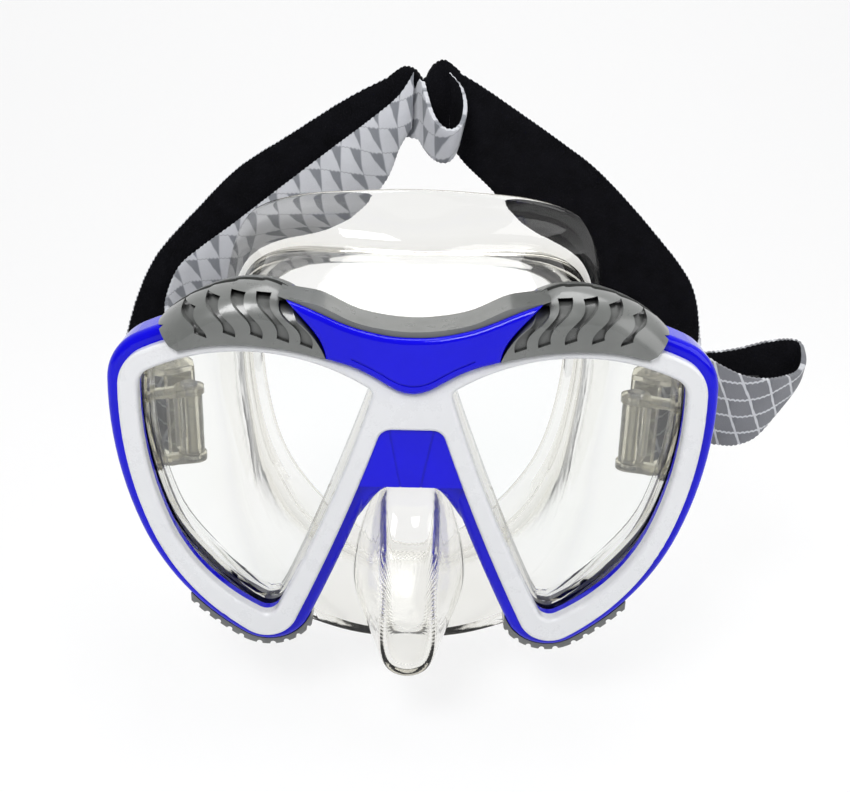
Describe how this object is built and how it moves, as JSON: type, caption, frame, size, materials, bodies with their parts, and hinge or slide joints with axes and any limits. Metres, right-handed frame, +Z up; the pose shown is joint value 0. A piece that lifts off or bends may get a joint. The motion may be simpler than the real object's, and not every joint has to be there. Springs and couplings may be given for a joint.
{
  "type": "snorkel mask",
  "caption": "Twin-lens snorkel mask with a blue frame, white bezel, grey grips, clear skirt and swivel buckles, hung by its strap.",
  "frame": {"origin": "the point on the underside of the strap's crown where the peg that the mask hangs from bears", "axes": "+Z up, +Y from the lenses to the face seal, +X to the viewer's right when facing the lenses"},
  "size_m": [0.2182, 0.0976, 0.1705],
  "materials": {
    "trim": "satin",
    "frame": "gloss",
    "grip": "satin",
    "lens": "gloss",
    "retainer": "satin",
    "silicone": "gloss",
    "polycarbonate": "gloss",
    "steel": "satin",
    "hook_tape": "matte",
    "neoprene": "matte"
  },
  "bodies": {
    "mask": {"main_frame": "frame", "front_bezel": "trim", "brow_grip": "grip", "chin_grip_right": "grip", "chin_grip_left": "grip", "lens_right": "lens", "lens_left": "lens", "retainer_right": "retainer", "retainer_left": "retainer", "skirt": "silicone", "buckle_bracket_right": "polycarbonate", "buckle_bracket_left": "polycarbonate", "pivot_pin_right": "steel", "pivot_pin_left": "steel", "strap_band_right": "neoprene", "strap_band_left": "neoprene", "strap_crown": "neoprene", "strap_crown_fold": "neoprene", "strap_fold_left": "neoprene", "strap_tail_right": "neoprene", "hook_patch_right": "hook_tape"},
    "buckle_right_body": {"buckle_right": "polycarbonate", "roller_pin_right": "steel", "lever_pin_right": "steel", "lever_spring_right": "steel", "strap_turn_right": "neoprene"},
    "roller_right_body": {"strap_roller_right": "polycarbonate"},
    "lever_right_body": {"release_lever_right": "polycarbonate"},
    "buckle_left_body": {"buckle_left": "polycarbonate", "roller_pin_left": "steel", "lever_pin_left": "steel", "lever_spring_left": "steel", "strap_turn_left": "neoprene"},
    "roller_left_body": {"strap_roller_left": "polycarbonate"},
    "lever_left_body": {"release_lever_left": "polycarbonate"}
  },
  "joints": [
    {"name": "buckle_swivel_right", "type": "hinge", "parent": "mask", "child": "buckle_right_body", "pos_m": [0.066, -0.048, -0.094], "axis": [0, 0, 1], "range_deg": [-15, 30]},
    {"name": "roller_spin_right", "type": "hinge", "parent": "buckle_right_body", "child": "roller_right_body", "pos_m": [0.07264, -0.03678, -0.094], "axis": [0, 0, 1], "continuous": true},
    {"name": "lever_squeeze_right", "type": "hinge", "parent": "buckle_right_body", "child": "lever_right_body", "pos_m": [0.07968, -0.04171, -0.094], "axis": [0, 0, -1], "range_deg": [0, 12], "stiffness_Nm_per_rad": 0.03, "springref_deg": -5.73},
    {"name": "buckle_swivel_left", "type": "hinge", "parent": "mask", "child": "buckle_left_body", "pos_m": [-0.066, -0.048, -0.094], "axis": [0, 0, -1], "range_deg": [-15, 30]},
    {"name": "roller_spin_left", "type": "hinge", "parent": "buckle_left_body", "child": "roller_left_body", "pos_m": [-0.07264, -0.03678, -0.094], "axis": [0, 0, -1], "continuous": true},
    {"name": "lever_squeeze_left", "type": "hinge", "parent": "buckle_left_body", "child": "lever_left_body", "pos_m": [-0.07968, -0.04171, -0.094], "axis": [0, 0, 1], "range_deg": [0, 12], "stiffness_Nm_per_rad": 0.03, "springref_deg": -5.73}
  ]
}
